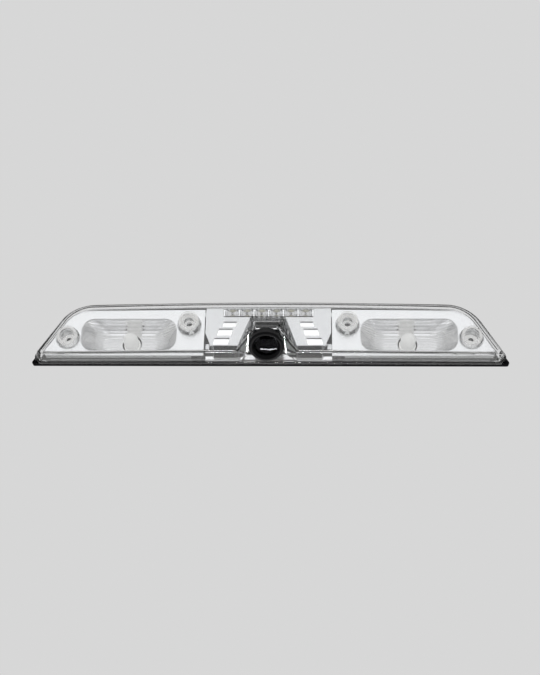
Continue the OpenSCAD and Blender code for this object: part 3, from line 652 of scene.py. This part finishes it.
# From the bench, in millimetres with z out towards the lens, to the row frame.
BENCH = Matrix(((MM, 0, 0, 0), (0, 0, -MM, 0), (0, MM, 0, 0), (0, 0, 0, 1)))
SPIN_WELD = 1e-4  # millimetres within which the two ends of a spin are one
COPY_WELD = 0.002  # millimetres within which a copied mesh's vertices are one
CORNER = math.radians(25)  # angle from which an edge of a block is rounded


@dataclass
class Workpiece:
    """A piece being shaped on the bench, in millimetres: x across, y up and z out towards the lens."""

    name: str
    mesh: bmesh.types.BMesh = field(default_factory=bmesh.new)

    def block(self, low: Point3, high: Point3, edge: float = 0.0) -> List[bmesh.types.BMVert]:
        """Adds a box between two corners.

        Args:
            low: Its lowest corner.
            high: Its highest corner.
            edge: Radius of its rounded edges.

        Returns:
            Its vertices.
        """
        size = [high[i] - low[i] for i in range(3)]
        middle = [(high[i] + low[i]) / 2 for i in range(3)]
        place = Matrix.Translation(middle) @ Matrix.Diagonal((*size, 1.0))
        verts = bmesh.ops.create_cube(self.mesh, size=1.0, matrix=place)["verts"]
        return self.soften(verts, edge) if edge else verts

    def turned(self, profile: Sequence[Point2], at: Point2 = (0.0, 0.0), sides: int = 72) -> None:
        """Turns a profile of (radius, depth) points about the depth axis.

        Args:
            profile: The profile's points. A closed profile off the axis gives a ring.
            at: Place of the axis in x and y.
            sides: Number of steps round.
        """
        verts = [self.mesh.verts.new((at[0] + r, at[1], h)) for r, h in profile]
        edges = [self.mesh.edges.new(pair) for pair in zip(verts, verts[1:])]
        bmesh.ops.spin(
            self.mesh,
            geom=verts + edges,
            cent=(at[0], at[1], 0),
            axis=(0, 0, 1),
            angle=math.tau,
            steps=sides,
            use_merge=True,
        )
        bmesh.ops.remove_doubles(self.mesh, verts=self.mesh.verts, dist=SPIN_WELD)
        bmesh.ops.recalc_face_normals(self.mesh, faces=self.mesh.faces)

    def soften(self, verts: Iterable[bmesh.types.BMVert], radius: float) -> List[bmesh.types.BMVert]:
        """Rounds the edges among some vertices.

        Args:
            verts: The vertices.
            radius: Radius of the rounding.

        Returns:
            The new vertices.
        """
        chosen = set(verts)
        edges = [e for e in self.mesh.edges if set(e.verts) <= chosen and e.calc_face_angle(0.0) > CORNER]
        made = bmesh.ops.bevel(
            self.mesh, geom=edges, offset=radius, segments=2, profile=0.5, affect="EDGES", material=-1
        )
        return list({v for f in made["faces"] for v in f.verts} | {v for v in chosen if v.is_valid})

    def copied(self, node: str, flat: float = 0.3) -> "Workpiece":
        """Adds a merged copy of a frame node's mesh.

        Args:
            node: Name of the node.
            flat: Angle in degrees up to which neighbouring facets become one face.

        Returns:
            This piece.
        """
        self.mesh.from_mesh(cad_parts[node].data)
        bmesh.ops.remove_doubles(self.mesh, verts=self.mesh.verts, dist=COPY_WELD * MM)
        if flat > 0:
            bmesh.ops.dissolve_limit(
                self.mesh, angle_limit=math.radians(flat), verts=self.mesh.verts, edges=self.mesh.edges
            )
        self.mesh.transform(BENCH.inverted())
        return self

    def done(
        self,
        body: Body,
        slot: str,
        finish: Finish,
        stands_for: Sequence[str] = (),
        edge: float = 0.0,
        crease: float = 30.0,
    ) -> bpy.types.Object:
        """Places the piece in the row frame and dresses it.

        Args:
            body: Body that it rides on.
            slot: The record's material slot. Not used.
            finish: Its finish.
            stands_for: Frame nodes that it replaces.
            edge: Radius in millimetres of a closing bevel over its sharp edges.
            crease: Angle in degrees from which an edge counts as sharp.

        Returns:
            The object.
        """
        self.mesh.transform(BENCH)
        for face in self.mesh.faces:
            face.smooth = True
        for rim in self.mesh.edges:
            rim.smooth = edge > 0 or rim.calc_face_angle(0.0) < math.radians(crease)
        data = bpy.data.meshes.new(self.name)
        self.mesh.to_mesh(data)
        self.mesh.free()
        piece = bpy.data.objects.new(self.name, data)
        bpy.context.scene.collection.objects.link(piece)
        data.materials.append(finish.material())
        if edge:
            rounding = piece.modifiers.new("rounding", "BEVEL")
            rounding.width = edge * MM
            rounding.segments = 2
            rounding.limit_method = "ANGLE"
            rounding.angle_limit = math.radians(crease)
            rounding.use_clamp_overlap = True
        shading = piece.modifiers.new("shading", "WEIGHTED_NORMAL")
        shading.keep_sharp = True
        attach(piece, body.value)
        if stands_for:
            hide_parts(*stands_for)
        LOG.info("%s: %d faces on %s", self.name, len(data.polygons), body.value)
        return piece


def refitted(
    node: str,
    slot: str,
    finish: Finish,
    edge: float,
    body: Body = Body.LAMP,
    crease: float = 30.0,
    flat: float = 0.3,
) -> bpy.types.Object:
    """A copy of a frame node with rounded edges and a smooth surface, which stands for it.

    Args:
        node: Name of the node.
        slot: The record's material slot.
        finish: Its finish.
        edge: Radius in millimetres of its rounded edges.
        body: Body that it rides on.
        crease: Angle in degrees from which an edge counts as sharp.
        flat: Angle in degrees up to which neighbouring facets become one face. At 0 none do.

    Returns:
        The piece.
    """
    return Workpiece(f"{node}_skin").copied(node, flat).done(body, slot, finish, [node], edge, crease)


def dressed(node: str, finish: Finish) -> None:
    """Gives a frame node that stays as it is its finish.

    Args:
        node: Name of the node.
        finish: Its finish.
    """
    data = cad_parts[node].data
    data.materials.clear()
    data.materials.append(finish.material())
    LOG.info("%s: dressed in %s", node, finish.name)


# ---------------------------------------------------------------- sub-assemblies


@dataclass
class LensAndSeals:
    """The clear lens moulding, its bonding bead, the foam gasket and the four screw-hole seals."""

    lens_edge: float = 0.35
    lens_flat: float = 0.02
    foam_edge: float = 0.5
    hole_seal_edge: float = 0.8
    seal_draw: Point2 = (0.97, 0.872)  # size across and up, as a share of the bonding bead's
    seal_depths: Point2 = (11.0, 15.0)
    seal_end_y: float = -22.0
    middle_y: float = -3.05
    foil_half: float = 204.0
    foil_depths: Point2 = (7.42, 7.48)
    foil_rows: Tuple[Point2, ...] = ((-31.75, -31.2), (-29.9, -25.9))

    def build(self) -> None:
        """Builds and dresses the pieces."""
        lens = Workpiece("outer_lens_skin").copied("outer_lens", self.lens_flat)
        lens.done(Body.LAMP, "clear_lens", CLEAR, ["outer_lens"], self.lens_edge)
        dressed("lens_seal_bead", SEAL_BEAD)
        refitted("perimeter_gasket", "gasket_foam", FOAM_BLACK, self.foam_edge)
        self._inner_seal()
        self._lower_foil()
        refitted("screw_hole_seals", "gasket_foam", FOAM_BLACK, self.hole_seal_edge)

    def _inner_seal(self) -> None:
        """A black foam cord inside the lens's shoulder, over the top and down both ends."""
        cord = Workpiece("inner_seal").copied("lens_seal_bead")
        low = min(vert.co.z for vert in cord.mesh.verts)
        high = max(vert.co.z for vert in cord.mesh.verts)
        for vert in cord.mesh.verts:
            share = (vert.co.z - low) / (high - low)
            vert.co.x *= self.seal_draw[0]
            vert.co.y = self.middle_y + (vert.co.y - self.middle_y) * self.seal_draw[1]
            vert.co.z = self.seal_depths[0] + share * (self.seal_depths[1] - self.seal_depths[0])
        bmesh.ops.bisect_plane(
            cord.mesh,
            geom=list(cord.mesh.verts) + list(cord.mesh.edges) + list(cord.mesh.faces),
            plane_co=(0.0, self.seal_end_y, 0.0),
            plane_no=(0.0, -1.0, 0.0),
            clear_outer=True,
        )
        bmesh.ops.holes_fill(cord.mesh, edges=[e for e in cord.mesh.edges if e.is_boundary])
        cord.done(Body.LAMP, "gasket_foam", FOAM_BLACK)

    def _lower_foil(self) -> None:
        """Bright foil on the housing under the lens's low edge, above and below the bead."""
        foil = Workpiece("lower_foil")
        near, far = self.foil_depths
        for low, high in self.foil_rows:
            foil.block((-self.foil_half, low, near), (self.foil_half, high, far))
        foil.done(Body.LAMP, "metallised_reflector", CELL_COAT)


@dataclass
class RearHousing:
    """The housing behind the lens, with its vents."""

    edge: float = 0.5
    vent_edge: float = 0.3

    def build(self) -> None:
        """Builds and dresses the pieces."""
        refitted("rear_housing", "housing_plastic", HOUSING_BLACK, self.edge)
        refitted("vent_caps", "vent_plastic", VENT_BLACK, self.vent_edge)


@dataclass
class Bezels:
    """The three metallised bezels, the collars and washers of the posts, the screws, and black strips and
    chin inlays of painted shade.
    """

    edge: float = 0.5
    screw_edge: float = 0.15
    front: float = 17.0  # depth of the bezels' faces
    back: float = 7.6
    inner_post: Point2 = (73.7, 0.0)
    outer_post: Point2 = (187.0, -13.4)
    collar_in: float = 10.5
    collar_out: float = 11.5
    collar_proud: Point2 = (0.5, 0.9)  # how far the collar's edges and its crest stand before the bezel
    washer: Point2 = (2.8, 9.6)  # radii of its hole and rim
    washer_depths: Point2 = (1.1, 1.3)
    cell_shade_strip: Point3 = (-42.0, 42.0, 8.3)  # ends and height of the painted shade strip under the cells
    slot_shade_strips: Tuple[Point3, ...] = ((29.6, 41.6, 2.5), (33.0, 46.0, -4.8), (35.8, 49.6, -14.3))
    # The next four lengths size the black strips of painted shade.
    seal: float = 0.7
    strip_sunk: float = 0.3
    strip_proud: float = 0.4
    seal_edge: float = 0.15
    chin_low: Point2 = (-28.4, 9.6)  # height and depth of the chin's lower edge
    chin_high: Point2 = (-21.3, 17.0)
    chin_span: Point2 = (27.4, 49.8)
    chin_margin: float = 0.5
    chin_sheet: Point2 = (-0.1, 0.3)
    chin_edge: float = 0.14

    def build(self) -> None:
        """Builds and dresses the pieces."""
        refitted("centre_bezel", "metallised_bezel", SHADED_CENTRE_COAT, self.edge)
        for side in Side:
            refitted(side.node("side_bezel"), "metallised_bezel", BEZEL_COAT, self.edge)
            for name, post in (("inner", self.inner_post), ("outer", self.outer_post)):
                at = (side.value * post[0], post[1])
                self._collar(side.node(f"{name}_post_collar"), at)
                self._washer(side.node(f"{name}_post_washer"), at)
        refitted("bezel_screws", "screw_steel", SCREW_ZINC, self.screw_edge)
        self._painted_shade_strips()
        self._chin_shades()

    def _collar(self, name: str, at: Point2) -> None:
        """A metallised tube round a clear post.

        Args:
            name: Name of the piece.
            at: Place of the post.
        """
        edges, crest = (self.front + proud for proud in self.collar_proud)
        profile = [
            (self.collar_in, self.back),
            (self.collar_out, self.back),
            (self.collar_out, edges),
            ((self.collar_in + self.collar_out) / 2, crest),
            (self.collar_in, edges),
            (self.collar_in, self.back),
        ]
        tube = Workpiece(name)
        tube.turned(profile, at)
        tube.done(Body.LAMP, "metallised_bezel", BEZEL_COAT)

    def _washer(self, name: str, at: Point2) -> None:
        """A thin white washer under a clear post, whose painted glow keeps the post bright.

        Args:
            name: Name of the piece.
            at: Place of the post.
        """
        (hole, rim), (low, high) = self.washer, self.washer_depths
        ring = Workpiece(name)
        ring.turned([(hole, low), (rim, low), (rim, high), (hole, high), (hole, low)], at)
        ring.done(Body.LAMP, "diffuser_white", WASHER_PAINTED_GLOW)

    def _painted_shade_strips(self) -> None:
        """Black strips of painted shade under the cells and above each slot, where shadow lines fall."""
        strips = Workpiece("painted_shade_strips")
        spans = [self.cell_shade_strip]
        for low, high, level in self.slot_shade_strips:
            spans += [(low, high, level), (-high, -low, level)]
        for low, high, level in spans:
            back_corner = (low, level, self.front - self.strip_sunk)
            front_corner = (high, level + self.seal, self.front + self.strip_proud)
            strips.block(back_corner, front_corner, self.seal_edge)
        strips.done(Body.LAMP, "gasket_foam", FOAM_BLACK)

    def _chin_shades(self) -> None:
        """Dark inlays of painted shade on the centre bezel's sloping chin, to both sides of the nacelle."""
        (low, back), (high, front) = self.chin_low, self.chin_high
        slope = math.atan2(front - back, high - low)
        half = math.hypot(front - back, high - low) / 2 - self.chin_margin
        middle = (0.0, (low + high) / 2, (back + front) / 2)
        turn = Matrix.Translation(middle) @ Matrix.Rotation(slope, 4, "X")
        (sunk, proud), inlays = self.chin_sheet, Workpiece("chin_shades")
        for side in Side:
            ends = sorted(side.value * x for x in self.chin_span)
            inlays.block((ends[0], -half, sunk), (ends[1], half, proud), self.chin_edge)
        bmesh.ops.transform(inlays.mesh, matrix=turn, verts=inlays.mesh.verts)
        inlays.done(Body.LAMP, "housing_plastic", BRACKET_BLACK)


@dataclass
class BrakeLight:
    """The brake light's reflector cells, light guides, circuit board and parts."""

    guide_edge: float = 0.3
    board_edge: float = 0.1
    led_edge: float = 0.12
    chip_edge: float = 0.08
    header_edge: float = 0.25
    screw_edge: float = 0.15

    def build(self) -> None:
        """Builds and dresses the pieces."""
        refitted("brake_reflector_tray", "metallised_reflector", CELL_COAT, 0.0, flat=0.0)
        for side in Side:
            refitted(side.node("slot_diffuser"), "diffuser_white", GUIDE_WHITE_PAINTED_GLOW, self.guide_edge)
        refitted("brake_led_board", "circuit_board", BOARD_MASK, self.board_edge)
        refitted("brake_leds", "led_package", LED_DOME, self.led_edge)
        for chip in ("board_resistors", "led_driver"):
            refitted(chip, "component_black", CHIP_BLACK, self.chip_edge)
        refitted("board_header", "header_plastic", NYLON, self.header_edge)
        refitted("board_screws", "screw_steel", SCREW_ZINC, self.screw_edge)


@dataclass
class CargoLights:
    """The two cargo lights: reflector, bulb, twist-lock socket, seal and contacts."""

    edge: float = 0.4
    seal_edge: float = 0.5
    contact_edge: float = 0.1

    def build(self) -> None:
        """Builds and dresses the pieces."""
        for side in Side:
            rides = side.socket_body()
            refitted(side.node("cargo_reflector"), "metallised_reflector", REFLECTOR_COAT, self.edge)
            refitted(side.node("cargo_bulb"), "bulb_diffuser", BULB_WHITE, self.edge, rides)
            refitted(side.node("cargo_socket"), "socket_plastic", SOCKET_BLACK, self.edge, rides)
            refitted(side.node("socket_seal"), "seal_rubber", SEAL_RUBBER, self.seal_edge, rides)
            refitted(side.node("socket_contacts"), "contact_metal", CONTACT_BRASS, self.contact_edge, rides)


@dataclass
class CameraUnit:
    """The rear camera in the nacelle, with its bracket and lead."""

    edge: float = 0.35
    ring_edge: float = 0.4
    ring_crease: float = 20.0
    barrel_edge: float = 0.2
    chip_edge: float = 0.08
    screw_edge: float = 0.15
    lead_crease: float = 60.0
    shield_top: Point2 = (0.8, 27.0)  # height and depth of the hood's upper edge
    shield_nose: Point2 = (-16.2, 47.5)
    shield_half: float = 13.0
    shield_sheet: float = 0.8
    shield_taper: float = 0.28

    def build(self) -> None:
        """Builds and dresses the pieces."""
        for shell in ("camera_body", "camera_back_cover"):
            refitted(shell, "camera_black", CAMERA_BLACK, self.edge)
        refitted("camera_ring", "camera_ring_black", RING_BLACK, self.ring_edge, crease=self.ring_crease)
        dressed("camera_ring_seal", O_RING)
        refitted("camera_cover_glass", "cover_glass", WINDOW_GLASS, 0.0)
        refitted("lens_barrel", "camera_ring_black", RING_BLACK, self.barrel_edge)
        refitted("front_lens_element", "lens_glass", FRONT_OPTIC, 0.0)
        refitted("rear_lens_element", "lens_glass", OPTIC_GLASS, 0.0)
        refitted("sensor_board", "circuit_board", SENSOR_MASK, self.chip_edge)
        refitted("image_sensor", "component_black", CHIP_BLACK, self.chip_edge)
        bracket = Workpiece("camera_bracket_skin").copied("camera_bracket")
        self._glare_and_shade_hood(bracket)
        bracket.done(Body.LAMP, "bracket_plastic", BRACKET_BLACK, ["camera_bracket"], self.edge)
        refitted("camera_screws", "screw_steel", SCREW_ZINC, self.screw_edge)
        refitted("camera_lead", "lead_sheath", LEAD_BLACK, 0.0, crease=self.lead_crease)

    def _glare_and_shade_hood(self, bracket: Workpiece) -> None:
        """Adds the bracket's hood, a black sheet under the nacelle's sloping top, which keeps glare off the
        camera and darkens that top as painted shade.

        Args:
            bracket: The bracket.
        """
        (top, near), (low, far) = self.shield_top, self.shield_nose
        run = math.hypot(far - near, top - low)
        half, skin = self.shield_half, self.shield_sheet / 2
        verts = bracket.block((-half, -skin, 0.0), (half, skin, run))
        slope = math.atan2(top - low, far - near)
        turn = Matrix.Translation((0.0, top, near)) @ Matrix.Rotation(slope, 4, "X")
        bmesh.ops.transform(bracket.mesh, matrix=turn, verts=verts)
        for vert in verts:
            share = (vert.co.z - near) / (far - near)
            vert.co.x *= 1.0 - self.shield_taper * share


@dataclass
class Inlets:
    """The two harness inlets on the back, with their pins."""

    edge: float = 0.3
    pin_edge: float = 0.15

    def build(self) -> None:
        """Builds and dresses the pieces."""
        for name in ("lamp_connector", "camera_connector"):
            refitted(f"{name}_inlet", "inlet_plastic", INLET_BLACK, self.edge)
        for name in ("lamp_connector_pins", "camera_connector_pin"):
            refitted(name, "contact_metal", CONTACT_BRASS, self.pin_edge)


# ---------------------------------------------------------------- studio


@dataclass(frozen=True)
class SoftBox:
    """A rectangular soft light. Lengths are in metres and power is in watts."""

    name: str
    at: Point3
    towards: Point3
    size: Point2
    power: float

    def hang(self) -> None:
        """Puts the light up, out of the camera's sight."""
        data = bpy.data.lights.new(self.name, "AREA")
        data.shape = "RECTANGLE"
        data.size, data.size_y = self.size
        data.energy = self.power
        lamp = bpy.data.objects.new(self.name, data)
        bpy.context.scene.collection.objects.link(lamp)
        lamp.location = self.at
        lamp.visible_camera = False
        lamp.rotation_euler = (Vector(self.towards) - Vector(self.at)).to_track_quat("-Z", "Y").to_euler()


@dataclass(frozen=True)
class Sheet:
    """A flat sheet of the studio, in metres: its centre, its turn about X in degrees and its size."""

    name: str
    at: Point3
    tilt: float
    size: Point2
    finish: Finish

    def lay(self) -> bpy.types.Object:
        """Lays the sheet.

        Returns:
            The object.
        """
        data = bpy.data.meshes.new(self.name)
        shape = bmesh.new()
        bmesh.ops.create_grid(shape, x_segments=1, y_segments=1, size=0.5)
        bmesh.ops.scale(shape, verts=shape.verts, vec=(*self.size, 1.0))
        place = Matrix.Translation(self.at) @ Matrix.Rotation(math.radians(self.tilt), 4, "X")
        bmesh.ops.transform(shape, matrix=place, verts=shape.verts)
        shape.to_mesh(data)
        shape.free()
        piece = bpy.data.objects.new(self.name, data)
        bpy.context.scene.collection.objects.link(piece)
        data.materials.append(self.finish.material())
        return piece


@dataclass
class Studio:
    """A pale floor, a pale room, soft lights, two black cards that draw dark lines, and the camera."""

    floor: Sheet = Sheet("studio_floor", (0.0, 0.0, -0.8), 0.0, (8.0, 8.0), STUDIO_PAPER)
    world_level: float = 0.68
    boxes: Tuple[SoftBox, ...] = (
        SoftBox("front", (-0.06, -1.16, 0.58), (0.0, 0.0, 0.0), (1.3, 0.5), 1.0),
        SoftBox("overhead", (0.0, -0.3, 0.9), (0.0, 0.0, 0.0), (1.2, 0.4), 1.6),
        SoftBox("low_strip", (0.0, 0.1, -0.65), (0.0, -0.04, -0.03), (0.25, 0.04), 1.4),
    )
    cards: Tuple[Sheet, ...] = (
        Sheet("low_card", (0.0, -0.36, -0.77), 0.0, (0.5, 0.4), CARD_BLACK),
        Sheet("high_card", (0.0, 0.34, 0.5), -35.0, (1.8, 0.2), CARD_BLACK),
    )
    focal_mm: float = 57.17
    sensor_mm: float = 36.0
    shift: Point2 = (0.0025, -0.0089)
    camera_at: Point3 = (0.0489, -0.9087, -0.4490)
    camera_back: Point3 = (0.0489, -0.8947, -0.4441)
    camera_right: Point3 = (0.9988, 0.0438, 0.0217)

    def build(self) -> None:
        """Sets up the floor, the room, the lights, the cards and the camera."""
        self.floor.lay()
        self._world()
        for box in self.boxes:
            box.hang()
        for card in self.cards:
            piece = card.lay()
            piece.visible_camera = False
            piece.visible_shadow = False
        self._camera()

    def _world(self) -> None:
        """Gives the room an even pale light."""
        world = bpy.data.worlds.new("studio_room")
        world.use_nodes = True
        back = world.node_tree.nodes["Background"]
        back.inputs["Color"].default_value = (1.0, 1.0, 1.0, 1.0)
        back.inputs["Strength"].default_value = self.world_level
        bpy.context.scene.world = world

    def _camera(self) -> None:
        """Places the camera in front of the lamp and a little below it, looking up."""
        back = Vector(self.camera_back).normalized()
        up = back.cross(Vector(self.camera_right).normalized()).normalized()
        data = bpy.data.cameras.new("studio_camera")
        data.sensor_width = self.sensor_mm
        data.lens = self.focal_mm
        data.shift_x, data.shift_y = self.shift
        viewer = bpy.data.objects.new("studio_camera", data)
        bpy.context.scene.collection.objects.link(viewer)
        stand = Matrix((up.cross(back), up, back)).transposed().to_4x4()
        stand.translation = Vector(self.camera_at)
        viewer.matrix_world = stand
        bpy.context.scene.camera = viewer


def main() -> None:
    """Builds the sub-assemblies in order."""
    logging.basicConfig(level=logging.INFO, format="%(message)s")
    kinds = (LensAndSeals, RearHousing, Bezels, BrakeLight, CargoLights, CameraUnit, Inlets, Studio)
    for kind in kinds:
        LOG.info("-- %s", kind.__name__)
        kind().build()
    bpy.context.scene.view_settings.view_transform = "Standard"


if __name__ == "__main__":
    main()
